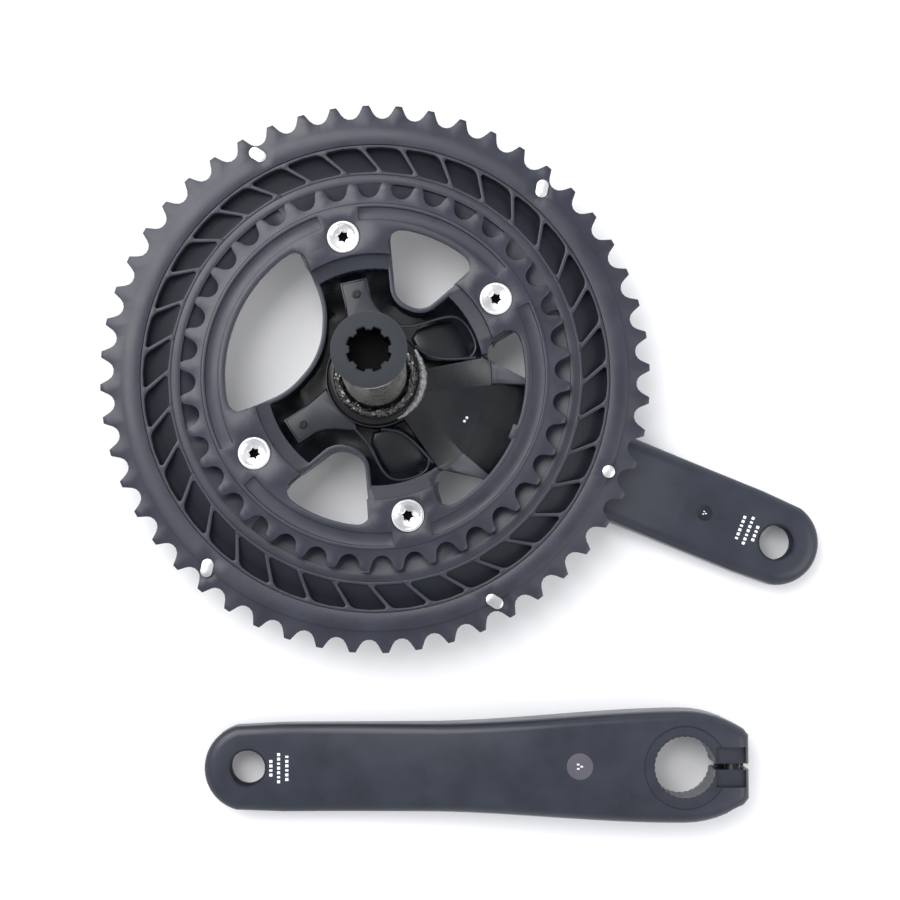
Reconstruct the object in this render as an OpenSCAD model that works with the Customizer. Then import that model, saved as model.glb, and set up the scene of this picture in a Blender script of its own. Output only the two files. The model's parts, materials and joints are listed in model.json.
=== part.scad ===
// Two-piece road crankset lying on its outer faces: the drive side with its axle
// pointing up, and the loose left arm beside it. Millimetres, +Z up, z = 0 at the
// outer faces, origin on the axle's axis.

/* [Layout] */
// Direction of the right arm, counted from +X
arm_angle = -22.3; // [-60:0.1:60]
// Place of the loose left arm's bore across the layout
left_x = 119.4; // [60:0.1:200]
// Place of the loose left arm's bore below the axle
left_y = -151.4; // [-260:0.1:-145]

/* [Arms] */
// Axle axis to pedal axis
crank_length = 170; // [160:0.5:180]
// Width of both arms along their plain stretch
arm_width = 34; // [30:0.5:40]
// Radius of the pedal ends
pedal_end_r = 16.8; // [13:0.1:18]
// Thickness at the pedal holes
pedal_thick = 12.5; // [10:0.5:16]
// Thickness at the axle ends of both arms
boss_thick = 20; // [17:0.5:24]
// Diameter of the threaded pedal holes
pedal_hole_d = 14.29; // [12:0.01:16]
// Width of the right arm where it leaves the axle
right_root_width = 48; // [44:0.5:52]
// Width of the left arm at its bore
left_root_width = 43.4; // [40:0.2:50]
// Distance from the bore to the left arm's blunt end
left_end = 25; // [23:0.5:30]

/* [Left clamp] */
// Width of the slit
slit_w = 2.4; // [1.5:0.1:4]
// Recess around the bore on the inner face, radius
clamp_rim_r = 15.8; // [14:0.1:17]
// Depth of that recess
clamp_rim_depth = 1; // [0.5:0.1:2]
// Width of the channel between the ears
channel_w = 15.5; // [10:0.5:20]
// Depth of the channel
channel_depth = 3; // [1:0.5:4]
// Diameter of the pinch bolts
pinch_d = 6; // [5:0.5:7]
// Diameter of the pinch bolts' heads
pinch_head_d = 9; // [8:0.5:10]
// Distance from the bore's axis to the pinch bolts
pinch_x = 19; // [18:0.1:20]
// Heights of the two pinch bolts above the outer face
pinch_z = [5.5, 13.6];
// Seat of a pinch bolt's head, measured from the slit's middle
pinch_seat = 9; // [8.5:0.5:12]

/* [Axle] */
// Outer diameter of the axle
axle_d = 24; // [22:0.1:26]
// Bore of the axle
axle_bore_d = 18.4; // [14:0.1:20]
// Length of the axle
axle_len = 128.2; // [110:0.1:150]
// Depth of the axle's end inside the right arm's outer face
axle_inset = 1.2; // [0.5:0.1:3]
// Diameter of the preload cap's flange
cap_d = 25.6; // [24:0.1:28]
// Thickness of the preload cap's flange
cap_flange = 2.6; // [2:0.1:4]
// Length of the preload cap's threaded plug
cap_plug = 10; // [6:0.5:14]

/* [Chainrings] */
// Teeth of the big ring
big_teeth = 52; // [50:1:53]
// Teeth of the small ring
small_teeth = 36; // [36:1:39]
// Chain pitch
pitch = 12.7; // [12.6:0.1:12.8]
// Diameter of the tooth gaps' round seats
seat_d = 7.9; // [7.8:0.05:8.2]
// Height of the big ring's teeth above the outer faces
ring_z = 23; // [22:0.5:26]
// Distance between the two rings' teeth
ring_gap = 7.5; // [7:0.1:8]
// Thickness of the teeth
tooth_t = 2; // [1.8:0.1:2.4]
// Diameter of the ring bolts' circle
bolt_circle = 110; // [108:0.5:112]
// Half angle between the two ring bolts beside the right arm
bolt_half = 54.83; // [52:0.01:58]
// Slanted ribs of the big ring
rib_count = 36; // [24:1:48]
// Thickness of a rib
rib_t = 1.8; // [1:0.1:3]
// Diameter of the ring bolts
ring_bolt_d = 8; // [7:0.1:8.5]
// Diameter of the ring bolts' heads
ring_head_d = 12.4; // [11:0.1:13]

/* [Fits] */
// Gap around parts that turn
turn_gap = 0.05; // [0.02:0.01:0.1]
// Gap around parts that are pressed in or laid in
seat_gap = 0.03; // [0.01:0.01:0.1]
// Gap around bolts in plain holes
bolt_gap = 0.2; // [0.1:0.05:0.5]

/* [Hidden] */
$fn = 96;

// Rings, from the outside in
big_pitch_r = pitch / 2 / sin(180 / big_teeth);
small_pitch_r = pitch / 2 / sin(180 / small_teeth);
big_tip_r = big_pitch_r + 1.25;
small_tip_r = small_pitch_r + 2.1;
big_phase = 0;
small_phase = 4.1;
band_out_r = big_pitch_r - 7.4;
band_in_r = big_pitch_r - 14.2;
rib_in_r = big_pitch_r - 24.8;
rim_in_r = big_pitch_r - 29.6;
flange_in_r = small_pitch_r - 6.8;
flange_t = 2;
rib_wall = 1.4;
rib_lean = 5.1;
rib_phase = 0.6;
rib_corner_r = 0.8;
rib_round_r = 4.6;
band_top = ring_z + 2.4;
rim_top = ring_z + 2;
web_top = ring_z - 2.8;
web_low = ring_z - 4.4;
small_z = ring_z + ring_gap;
small_top = small_z + 1.5;
groove_out_r = small_pitch_r - 7.6;
groove_in_r = small_pitch_r - 12.6;
groove_depth = 1.2;
small_in_r = small_pitch_r - 15.2;

// Stack at the ring bolts, from the top down
small_low = small_z - 1.7;
spider_low = small_low - 4;
big_tab_low = spider_low - 5.2;
arm_inner_z = spider_low - 8.3;
bolt_r = bolt_circle / 2;
bolt_angles = [bolt_half, 180 - bolt_half, 180 + bolt_half, -bolt_half];
head_t = 1.6;
tab_in_r = bolt_r - 7.8;
tab_half = 19;

// Spider
spider_r = bolt_r + 6.5;
shelf_in_r = bolt_r - 13;
shelf_z = small_low - 1.4;
window_wall = 1.7;
boss_r = axle_d / 2 + 7.3;
boss_z = ring_z + 1;
hub_r = axle_d / 2 + 4;
hub_z = ring_z + 7;
pad_z = ring_z;
pad_w = 10.4;
pad_out_r = shelf_in_r - 3.2;
pocket_half = 33;
// Heights of the pockets' floor: at the boss, along the arms, at the shelf
pocket_z = [9, 9.8, 17.6];
seal_seat_r = boss_r + 0.5;

// Left clamp
pinch_hole_d = pinch_d + 2 * turn_gap;
pinch_head_t = 5;
stopper_t = slit_w - 0.6;
// Share of the room between the two pinch bolts that the stopper's ring takes up
stopper_share = 0.62;
stopper_r = pinch_d / 2 + stopper_share * (pinch_z[1] - pinch_z[0] - pinch_d);

// Shift pins: angle from the arm's axis, and their tilt from the radius
pin_angles = [70.8, 140, 250.8, 320];
pin_r = band_out_r + 0.2;
pin_l = 7;
pin_w = 4.5;
pin_tilt = 30;
pin_low = ring_z - 0.4;
pin_top = band_top + 0.4;
drop_pin_r = big_pitch_r - 8;
drop_pin_d = 4;
label_r = 3;
label_at = crank_length - 30.6;
left_label_r = 5.1;
left_label_at = [-41, 0.7];
label_t = 0.4;

// ---- Outlines -------------------------------------------------------------

function unit(v) = v / norm(v);
function polar(p) = [p[1] * cos(p[0]), p[1] * sin(p[0])];
function blend(t) = let (c = min(1, max(0, t))) c * c * (3 - 2 * c);

function reversed(a) = [for (i = [len(a) - 1:-1:0]) a[i]];

// Corner points of a rounded polygon; each corner has its own radius
function corner(a, p, b, r, steps = 6) =
  let (
    u = unit(a - p),
    v = unit(b - p),
    angle = acos(u * v),
    sweep = 180 - angle
  )
  r <= 0 || sweep < 1 ? [p] :
  let (
    reach = r / tan(angle / 2),
    middle = p + unit(u + v) * r / sin(angle / 2),
    from = p + u * reach - middle,
    to = p + v * reach - middle
  )
  [for (k = [0:steps])
    middle + (from * sin((1 - k / steps) * sweep) + to * sin(k / steps * sweep)) / sin(sweep)];

function rounded(pts, radii) =
  let (n = len(pts))
  [for (i = [0:n - 1]) each corner(pts[(i + n - 1) % n], pts[i], pts[(i + 1) % n], radii[i])];

// Moves every edge of an anticlockwise polygon outwards by m
function grown(pts, m) =
  let (n = len(pts))
  [for (i = [0:n - 1])
    let (
      d1 = unit(pts[i] - pts[(i + n - 1) % n]),
      d2 = unit(pts[(i + 1) % n] - pts[i]),
      n1 = [d1[1], -d1[0]],
      n2 = [d2[1], -d2[0]]
    )
    pts[i] + m * (n1 + n2) / (1 + n1 * n2)];

// Windows between the arms: corners as [angle, radius, rounding], anticlockwise
// The arc's own points stay clear of the rounded corners at its two ends
corner_arc = 9;
function arc_corners(a1, a2, r, n) =
  [for (i = [0:n]) [a1 + corner_arc + (a2 - a1 - 2 * corner_arc) * i / n, r, 0]];
function big_window(r) = concat(
  [[-141.5, r, 5]], [[-148.4, 34, 29], [-168.5, 25, 29], [168.5, 25, 29], [148.4, 34, 29]],
  [[141.5, r, 5]], arc_corners(141.5, 218.5, r, 20));
function side_window(r) = concat(
  [[76, 31, 8], [69, r, 5]], arc_corners(69, 108, r, 8), [[108, r, 5], [97.5, 30.8, 8]]);
function small_window(r) = concat(
  [[35.5, 39.5, 5], [18.5, r, 2]], arc_corners(18.5, 43.5, r, 4), [[43.5, r, 5]]);

// Opening in the small ring over the right arm, as wide as both small windows
function crank_gap(r) = concat(
  [[-35.5, 39.5, 0], [-43.5, r, 5]], arc_corners(-43.5, 43.5, r, 24), [[43.5, r, 5], [35.5, 39.5, 0]]);

module window(corners, margin = 0) {
  pts = [for (c = corners) polar(c)];
  radii = [for (c = corners) c[2] > 0 ? c[2] + margin : 0];
  polygon(rounded(margin > 0 ? grown(pts, margin) : pts, radii));
}

// All five windows, cut out to radius r
module windows(r, margin = 0) {
  window(big_window(r), margin);
  for (side = [0, 1]) mirror([0, side]) {
    window(side_window(r), margin);
    window(small_window(r), margin);
  }
}

module ring2d(r_out, r_in) {
  difference() {
    circle(r = r_out);
    circle(r = r_in);
  }
}

// Sector of a ring about the direction at
module sector2d(r_out, r_in, at, half) {
  reach = r_out * 1.5;
  intersection() {
    ring2d(r_out, r_in);
    rotate(at) polygon([
      [0, 0], reach * [cos(half), -sin(half)], [reach * 1.2, 0], reach * [cos(half), sin(half)],
    ]);
  }
}

// Toothed outline: a round seat in each gap, flanks and a blunt tip on each tooth
function tooth_points(teeth, pitch_r, tip_r, phase) =
  let (
    step = 360 / teeth,
    seat = seat_d / 2,
    shoulder_r = tip_r - 1.6,
    shoulder = step * 0.16,
    tip = step * 0.095
  )
  [for (k = [0:teeth - 1])
    let (a = phase + k * step)
    each concat(
      [for (t = [-60:24:60]) polar([a, pitch_r]) + polar([a + 180 - t, seat])],
      [polar([a + step / 2 - shoulder, shoulder_r]), polar([a + step / 2 - tip, tip_r]),
       polar([a + step / 2 + tip, tip_r]), polar([a + step / 2 + shoulder, shoulder_r])]
    )];

// Half outline widths along the arms, from the axle to the pedal
function arm_half(s, root_w, from, to) =
  arm_width / 2 + (root_w - arm_width) / 2 * blend((to - s) / (to - from));

module arm2d(root_w, from, to, start) {
  reach = crank_length - 12;
  side = [for (s = [start:(reach - start) / 16:reach]) [s, arm_half(s, root_w, from, to)]];
  tip = [for (a = [75:-15:-75]) [crank_length, 0] + pedal_end_r * [cos(a), sin(a)]];
  far = [for (i = [len(side) - 1:-1:0]) [side[i][0], -side[i][1]]];
  polygon(concat(side, tip, far));
}

// Points of a soft slope between two heights, from one distance to another
function slope(from, to, z_from, z_to, steps = 8) =
  [for (i = [0:steps]) [from + (to - from) * i / steps, z_from + (z_to - z_from) * blend(i / steps)]];

// An outline given its thickness by a side profile of [distance, height]
module arm_solid(profile) {
  half = left_root_width;
  intersection() {
    linear_extrude(boss_thick) children();
    rotate([90, 0, 0]) translate([0, 0, -half]) linear_extrude(2 * half) polygon(profile);
  }
}

module obround(l, w) {
  square([l - w, w], center = true);
  for (side = [-1, 1]) translate([side * (l - w) / 2, 0]) circle(d = w);
}

// The big ring's tabs round the ring bolts
module ring_tabs(r_in, half) {
  for (a = bolt_angles) sector2d(rim_in_r + 1, r_in, a, half);
}

// ---- Drive side -----------------------------------------------------------

module right_arm_blank() {
  inner = concat(
    [[0, 0], [crank_length + arm_width, 0], [crank_length + arm_width, pedal_thick]],
    slope(label_at - 4, band_in_r, pedal_thick, arm_inner_z),
    [[rim_in_r, arm_inner_z + 0.4], [spider_r - 1, boss_thick], [0, boss_thick]]
  );
  arm_solid(inner) arm2d(right_root_width, 20, 80, 0);
}

// The spider's radial section: a dished outer face, a shelf and raised tabs
module spider_section() {
  rotate_extrude() polygon([
    [0, 0], [boss_r + 4.5, 0], [boss_r + 12, 2.6], [shelf_in_r - 3, 8.6], [tab_in_r - 2, big_tab_low - 3],
    [tab_in_r, big_tab_low], [tab_in_r, spider_low], [spider_r, spider_low], [spider_r, small_low],
    [tab_in_r + seat_gap, small_low], [tab_in_r + seat_gap, shelf_z], [0, shelf_z]
  ]);
}

// Hollow inside the spider's arms; pads stay up on the two arms away from the crank
module spider_pocket() {
  difference() {
    rotate_extrude() polygon([
      [boss_r, pocket_z[0]], [boss_r + 11, pocket_z[1]], [shelf_in_r, pocket_z[2]],
      [shelf_in_r, hub_z + 5], [boss_r, hub_z + 5]
    ]);
    linear_extrude(hub_z + 10) windows(spider_r + 3, window_wall);
    linear_extrude(hub_z + 10) sector2d(spider_r, 0, 0, pocket_half);
    for (a = [bolt_angles[1], bolt_angles[2]]) rotate(a)
      translate([0, -pad_w / 2]) cube([pad_out_r, pad_w, pad_z]);
  }
}

module right_crank_arm() {
  color("#3d424c") rotate(arm_angle) difference() {
    union() {
      difference() {
        intersection() {
          spider_section();
          linear_extrude(small_low) difference() {
            circle(r = spider_r);
            windows(spider_r + 3);
            sector2d(spider_r + 3, 0, 0, 19);
          }
        }
        spider_pocket();
        translate([0, 0, boss_thick]) linear_extrude(hub_z) sector2d(shelf_in_r + 3, 0, 0, pocket_half + 1);
      }
      difference() {
        right_arm_blank();
        linear_extrude(boss_thick) windows(spider_r + 3);
        spider_pocket();
        translate([0, 0, big_tab_low - seat_gap]) linear_extrude(hub_z)
          ring_tabs(tab_in_r - seat_gap, tab_half + 0.5);
      }
      cylinder(r = boss_r, h = hub_z);
    }
    translate([0, 0, boss_z]) linear_extrude(hub_z) ring2d(seal_seat_r, hub_r);
    translate([0, 0, -1]) cylinder(d = axle_d + 2 * seat_gap, h = hub_z + 2);
    translate([crank_length, 0, -1]) cylinder(d = pedal_hole_d, h = boss_thick);
    translate([label_at, 0, pedal_thick - label_t]) cylinder(r = label_r + seat_gap, h = 5);
    for (a = bolt_angles) rotate(a) translate([bolt_r, 0, 0])
      cylinder(d = ring_bolt_d + 2 * bolt_gap, h = hub_z);
  }
}

module axle() {
  color("#b9b7b2") translate([0, 0, axle_inset]) difference() {
    cylinder(d = axle_d, h = axle_len);
    translate([0, 0, -1]) cylinder(d = axle_bore_d, h = axle_len + 2);
  }
}

// Flange that the axle's inner bearing runs against
module axle_collar() {
  color("#8f8d88") translate([0, 0, hub_z]) difference() {
    cylinder(r = hub_r - 1.4, h = 2);
    translate([0, 0, -1]) cylinder(d = axle_d + 2 * seat_gap, h = 4);
  }
}

// Rubber ring round the hub
module axle_seal() {
  color("#1b1c1f") rotate_extrude() polygon([
    [hub_r + seat_gap, boss_z], [boss_r - 0.3, boss_z], [boss_r - 0.3, boss_z + 2.2],
    [boss_r - 1.2, boss_z + 3.4], [hub_r + seat_gap, boss_z + 4]
  ]);
}

module preload_cap() {
  top = axle_inset + axle_len;
  recess = 7;
  color("#33363c") difference() {
    union() {
      translate([0, 0, top]) cylinder(d = cap_d, h = cap_flange);
      translate([0, 0, top - cap_plug]) cylinder(d = axle_bore_d - 2 * turn_gap, h = cap_plug);
    }
    translate([0, 0, top - cap_plug + 1.5]) linear_extrude(cap_plug + cap_flange) {
      circle(r = recess - 0.7);
      for (k = [0:7]) rotate(45 * k) translate([recess - 2, -1.5]) square([2.5, 3]);
    }
  }
}

// ---- Chainrings -----------------------------------------------------------

module big_chainring() {
  color("#3a3e47") rotate(arm_angle) difference() {
    union() {
      translate([0, 0, ring_z - tooth_t / 2]) linear_extrude(tooth_t) difference() {
        polygon(tooth_points(big_teeth, big_pitch_r, big_tip_r, big_phase));
        circle(r = band_in_r + 3);
      }
      rotate_extrude() polygon([
        [flange_in_r, web_low + 2], [rim_in_r, web_low + 2], [rim_in_r + 4, web_low], [band_out_r - 4.5, web_low],
        [band_out_r, ring_z - 1.8], [band_out_r, band_top], [band_in_r, band_top], [band_in_r, web_top],
        [rib_in_r - rib_wall, web_top], [rib_in_r - rib_wall, rim_top], [rim_in_r, rim_top],
        [rim_in_r, web_low + 2 + flange_t], [flange_in_r, web_low + 2 + flange_t]
      ]);
      translate([0, 0, big_tab_low]) linear_extrude(spider_low - big_tab_low) difference() {
        ring_tabs(tab_in_r + seat_gap, tab_half);
        windows(rim_in_r + 3);
      }
    }
    for (a = bolt_angles) rotate(a) translate([bolt_r, 0, big_tab_low - 1])
      cylinder(d = ring_bolt_d + 2 * seat_gap, h = 20);
    for (a = pin_angles) rotate(a) translate([pin_r, 0, pin_low]) rotate(pin_tilt)
      linear_extrude(10) obround(pin_l + 2 * seat_gap, pin_w + 2 * seat_gap);
    translate([drop_pin_r, 0, 0]) cylinder(d = drop_pin_d + 2 * seat_gap, h = 40);
  }
}

// Slanted stiffening ribs between two thin hoops, laid in the big ring's channel.
// Each pocket between two ribs is round at its outer, leading corner.
function rib_pocket(r_out, r_in) =
  let (
    step = 360 / rib_count,
    half_out = rib_t / 2 / r_out * 180 / PI,
    half_in = rib_t / 2 / r_in * 180 / PI
  )
  [[half_in, r_in, rib_corner_r], [step - half_in, r_in, rib_corner_r],
   [step + rib_lean - half_out, r_out, rib_corner_r], [step / 2 + rib_lean, r_out + 0.2, 0],
   [rib_lean + half_out, r_out, rib_round_r]];

module rib_ring() {
  height = band_top - web_top - 0.4;
  color("#34383f") rotate(arm_angle) translate([0, 0, web_top]) linear_extrude(height) difference() {
    ring2d(band_in_r - seat_gap, rib_in_r - rib_wall + seat_gap);
    for (k = [0:rib_count - 1]) rotate(k * 360 / rib_count + rib_phase)
      window(rib_pocket(band_in_r - rib_wall, rib_in_r));
  }
}

module small_chainring() {
  color("#3a3e47") rotate(arm_angle) difference() {
    union() {
      translate([0, 0, small_z - tooth_t / 2]) linear_extrude(tooth_t) difference() {
        polygon(tooth_points(small_teeth, small_pitch_r, small_tip_r, small_phase));
        circle(r = groove_out_r - 2.5);
      }
      translate([0, 0, small_low]) linear_extrude(small_top - small_low) {
        difference() {
          ring2d(groove_out_r + 1.5, tab_in_r + 2 * seat_gap);
          window(big_window(small_in_r));
          for (side = [0, 1]) mirror([0, side]) window(side_window(small_in_r));
          window(crank_gap(small_in_r));
        }
        sector2d(small_in_r + 1, small_in_r - 1.6, 0, 3);
      }
    }
    for (gap = [[0, bolt_half - 7], [90, 90 - bolt_half - 7], [180, bolt_half - 7], [270, 90 - bolt_half - 7]])
      translate([0, 0, small_top - groove_depth]) linear_extrude(5)
        sector2d(groove_out_r, groove_in_r, gap[0], gap[1]);
    for (a = bolt_angles) rotate(a) translate([bolt_r, 0, 0]) {
      cylinder(d = ring_bolt_d + 2 * bolt_gap, h = 60);
      translate([0, 0, small_top - head_t]) cylinder(d = ring_head_d + 2 * bolt_gap, h = 20);
    }
  }
}

module ring_bolt(n) {
  top = small_top + 0.4;
  color("#c9cbcd") rotate(arm_angle + bolt_angles[n]) translate([bolt_r, 0, 0]) difference() {
    union() {
      translate([0, 0, small_top - head_t]) cylinder(d = ring_head_d, h = head_t + 0.4);
      translate([0, 0, big_tab_low + 0.6]) cylinder(d = ring_bolt_d, h = top - big_tab_low - 1.2);
    }
    translate([0, 0, top - 0.8]) cylinder(d1 = 6, d2 = ring_head_d - 2, h = 1);
    translate([0, 0, top - 5]) linear_extrude(6) {
      circle(d = 4.4);
      for (k = [0:5]) rotate(60 * k) translate([2.2, 0]) circle(d = 1.2);
    }
  }
}

module shift_pin(n) {
  color("#c4c6c9") rotate(arm_angle + pin_angles[n]) translate([pin_r, 0, pin_low]) rotate(pin_tilt)
    linear_extrude(pin_top - pin_low) obround(pin_l, pin_w);
}

// Post that keeps a dropped chain from falling between the big ring and the arm
module chain_drop_pin() {
  color("#d0d2d4") rotate(arm_angle) translate([drop_pin_r, 0, 0]) {
    translate([0, 0, band_top]) cylinder(d = drop_pin_d + 0.8, h = 0.5);
    translate([0, 0, arm_inner_z + 1.6]) cylinder(d = drop_pin_d, h = band_top - arm_inner_z - 1.6);
  }
}

module right_label() {
  color("#24262b") rotate(arm_angle) translate([label_at, 0, pedal_thick - label_t])
    cylinder(r = label_r, h = label_t);
}

// ---- Left arm -------------------------------------------------------------

module at_left() {
  translate([left_x, left_y, 0]) children();
}

module left_outline() {
  tail = [for (x = [0:4:left_end - 2]) [x, left_root_width / 2 - 0.0132 * x * x]];
  last = tail[len(tail) - 1];
  mirror([1, 0]) arm2d(left_root_width, 0, 100, 0);
  polygon(concat(
    [[-1, -left_root_width / 2]],
    [for (p = tail) [p[0], -p[1]]],
    [[left_end, -last[1] + 2.5], [left_end, last[1] - 2.5]],
    reversed(tail),
    [[-1, left_root_width / 2]]
  ));
}

module left_crank_arm() {
  inner = concat(
    [[left_end + 1, 0], [left_end + 1, boss_thick]],
    slope(left_label_at[0] - left_label_r - 1, 20 - crank_length, boss_thick, pedal_thick, 16),
    [[-crank_length - arm_width, pedal_thick], [-crank_length - arm_width, 0]]
  );
  color("#454a55") at_left() difference() {
    arm_solid(inner) left_outline();
    translate([0, 0, -1]) cylinder(d = axle_d, h = boss_thick + 2);
    translate([0, 0, -1]) cylinder(r = axle_d / 2 + 1.4, h = 4);
    translate([0, 0, boss_thick - clamp_rim_depth]) cylinder(r = clamp_rim_r, h = 5);
    translate([0, -slit_w / 2, -1]) cube([left_end + 2, slit_w, boss_thick + 2]);
    translate([axle_d / 2, -channel_w / 2, boss_thick - channel_depth])
      cube([left_end - 1.5 - axle_d / 2, channel_w, 5]);
    translate([-crank_length, 0, -1]) cylinder(d = pedal_hole_d, h = boss_thick);
    translate([left_label_at[0], left_label_at[1], boss_thick - label_t])
      cylinder(r = left_label_r + seat_gap, h = 5);
    for (n = [0, 1]) pinch_axis(n) {
      translate([0, 0, pinch_seat]) cylinder(d = pinch_head_d + 2 * bolt_gap, h = 20);
      cylinder(d = pinch_d + 2 * bolt_gap, h = 20);
      translate([0, 0, -pinch_seat - 1]) cylinder(d = pinch_hole_d, h = 20);
    }
  }
}

// Places a pinch bolt along +Z of its own frame; the two point opposite ways
module pinch_axis(n) {
  translate([pinch_x, 0, pinch_z[n]]) rotate([n == 0 ? -90 : 90, 0, 0]) children();
}

module pinch_bolt(n) {
  color("#b7b9bc") at_left() pinch_axis(n) difference() {
    union() {
      translate([0, 0, pinch_seat]) cylinder(d = pinch_head_d, h = pinch_head_t);
      translate([0, 0, -pinch_seat]) cylinder(d = pinch_d, h = 2 * pinch_seat);
    }
    translate([0, 0, pinch_seat + 1.6]) cylinder(d = 5 / cos(30), h = 10, $fn = 6);
  }
}

// Safety plate in the slit; it turns on the lower pinch bolt
module stopper_plate() {
  color("#2a2c30") at_left() translate([pinch_x, 0, pinch_z[0]]) rotate([90, 0, 0])
    translate([0, 0, -stopper_t / 2]) linear_extrude(stopper_t) difference() {
      union() {
        circle(r = stopper_r);
        translate([axle_d / 2 + 1.2 - pinch_x, -1.2]) square([pinch_x - axle_d / 2 - 1.2, 2.4]);
        translate([0, -1.4]) square([left_end - pinch_x - 0.4, 2.8]);
      }
      circle(d = pinch_hole_d);
    }
}

module left_label() {
  color("#5b6069") at_left() translate([left_label_at[0], left_label_at[1], boss_thick - label_t])
    cylinder(r = left_label_r, h = label_t);
}

right_crank_arm();
axle();
axle_seal();
axle_collar();
preload_cap();
big_chainring();
rib_ring();
small_chainring();
ring_bolt(0);  // ring_bolt_1
ring_bolt(1);  // ring_bolt_2
ring_bolt(2);  // ring_bolt_3
ring_bolt(3);  // ring_bolt_4
shift_pin(0);  // shift_pin_1
shift_pin(1);  // shift_pin_2
shift_pin(2);  // shift_pin_3
shift_pin(3);  // shift_pin_4
chain_drop_pin();
right_label();
left_crank_arm();
left_label();
pinch_bolt(0);  // pinch_bolt_1
pinch_bolt(1);  // pinch_bolt_2
stopper_plate();
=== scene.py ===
"""A two-piece road crankset on a pale bench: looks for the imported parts."""

import json
import math

import bmesh
import bpy
from mathutils import Matrix, Vector


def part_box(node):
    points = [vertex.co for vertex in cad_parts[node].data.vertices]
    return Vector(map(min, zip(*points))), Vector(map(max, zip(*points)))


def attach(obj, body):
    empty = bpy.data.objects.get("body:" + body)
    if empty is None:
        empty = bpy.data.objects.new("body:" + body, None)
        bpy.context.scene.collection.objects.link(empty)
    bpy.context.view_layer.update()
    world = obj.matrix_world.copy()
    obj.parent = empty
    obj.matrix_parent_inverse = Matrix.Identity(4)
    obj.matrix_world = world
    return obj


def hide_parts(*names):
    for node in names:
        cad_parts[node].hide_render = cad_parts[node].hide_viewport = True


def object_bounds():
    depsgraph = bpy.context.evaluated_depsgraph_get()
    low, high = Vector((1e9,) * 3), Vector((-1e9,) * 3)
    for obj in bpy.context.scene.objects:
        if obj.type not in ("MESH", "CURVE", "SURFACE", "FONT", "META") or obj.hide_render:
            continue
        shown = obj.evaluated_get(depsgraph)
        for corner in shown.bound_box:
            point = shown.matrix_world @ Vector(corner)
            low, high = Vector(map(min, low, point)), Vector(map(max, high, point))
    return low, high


bl_info = {
    "name": "Road Crankset",
    "version": (1, 0, 0),
    "blender": (4, 5, 0),
    "location": "View3D > Sidebar > Crankset",
    "description": "Builds the finished surfaces of a two-piece road crankset around its packed parts",
    "category": "Object",
}

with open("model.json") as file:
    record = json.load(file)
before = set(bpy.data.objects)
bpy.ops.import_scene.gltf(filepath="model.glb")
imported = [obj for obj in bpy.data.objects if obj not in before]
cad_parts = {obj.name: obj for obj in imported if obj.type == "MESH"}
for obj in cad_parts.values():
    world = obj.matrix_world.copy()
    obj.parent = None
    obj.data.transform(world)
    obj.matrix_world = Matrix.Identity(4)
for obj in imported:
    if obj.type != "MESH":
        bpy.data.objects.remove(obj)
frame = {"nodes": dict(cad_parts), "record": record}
cad_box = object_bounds()

MM = 0.001
NODES = frame["nodes"]
MOUNTS = {m["name"]: Vector(m["pos_m"]) for m in frame["record"]["mounts"]}
RIGHT_PEDAL = MOUNTS["right_pedal_hole"]
LEFT_BORE = MOUNTS["left_clamp"]
ARM_ANGLE = math.atan2(RIGHT_PEDAL.y, RIGHT_PEDAL.x)
BENCH_Z = cad_box[0].z

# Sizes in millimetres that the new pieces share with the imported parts
CRANK_LENGTH = RIGHT_PEDAL.xy.length / MM
BOSS_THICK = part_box("left_crank_arm")[1].z / MM
PEDAL_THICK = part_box("right_label")[1].z / MM
LABEL_AT = ((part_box("right_label")[0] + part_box("right_label")[1]) / 2).xy.length / MM
LEFT_LABEL = tuple(((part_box("left_label")[0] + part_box("left_label")[1]) / 2 - LEFT_BORE).xy / MM)
BORE_R = 12.0
RIM_R = 15.8
RIM_DEPTH = 1.0
SLIT_W = 2.4
CHANNEL_W = 15.5
PINCH_X = 19.0
PINCH_Z = (5.5, 13.6)
PINCH_HEAD_BORE_R = 4.7
PINCH_HEAD_SEAT = 8.95
PINCH_SHANK_BORE_R = 3.2
PINCH_SHANK_END = -11.0
LEFT_END = (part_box("left_crank_arm")[1].x - LEFT_BORE.x) / MM
LEFT_ROOT = 43.4
RIGHT_ROOT = 48.0
ARM_WIDTH = 34.0
PEDAL_END_R = 16.8
PEDAL_HOLE_R = 7.145
PEDAL_CHAMFER = 0.5
THREAD_DEPTH = 0.35
EDGE_ROUND = 5.0
LOWER_ROUND = 2.0
SLOPE_FOOT = 2.1
BLADE_START = 62.0
LABEL_DEPTH = 0.4
RIGHT_LABEL_R = 3.05
LEFT_LABEL_R = 5.13
AXLE_BORE_R = 9.2
RIB_OUT_R = 89.6
RIB_IN_R = 80.4

# Heights of the right arm's inner face: boss, step beside the rings, long slope to the pedal end
RIGHT_STEP_START = 60.5
RIGHT_STEP_END = 75.6
RIGHT_SLOPE_START = 91.0
RIGHT_SLOPE_LENGTH = 44.4
RIGHT_STEP_DROP = 3.1
RIGHT_LEDGE_TOP = 16.9
RIGHT_SLOPE_TOP = 16.5

# Inside of the spider: how far the painted shade reaches, and the pocket's edge as (degrees, radius)
SHADE_SPIDER_R = 63.5
SHADE_SPIDER_TOP = 22.6
SHADE_BLADE_R = 82.0
WEB_LOW = 8.0
WEB_TOP = 23.3
POCKET_EDGE = ((62, 20.4), (47, 21.8), (39, 26.4), (35.6, 32), (34.4, 38.6),
               (42, 40.4), (56, 38), (66, 30), (70, 24))

# Rows of printed strokes beside a pedal hole: distance from it, number of strokes, their width
PRINT_ROWS = ((-15.4, 6, 1.2), (-12.2, 7, 1.15), (-9.2, 4, 1.2))


# ---- Settings -------------------------------------------------------------


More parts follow.
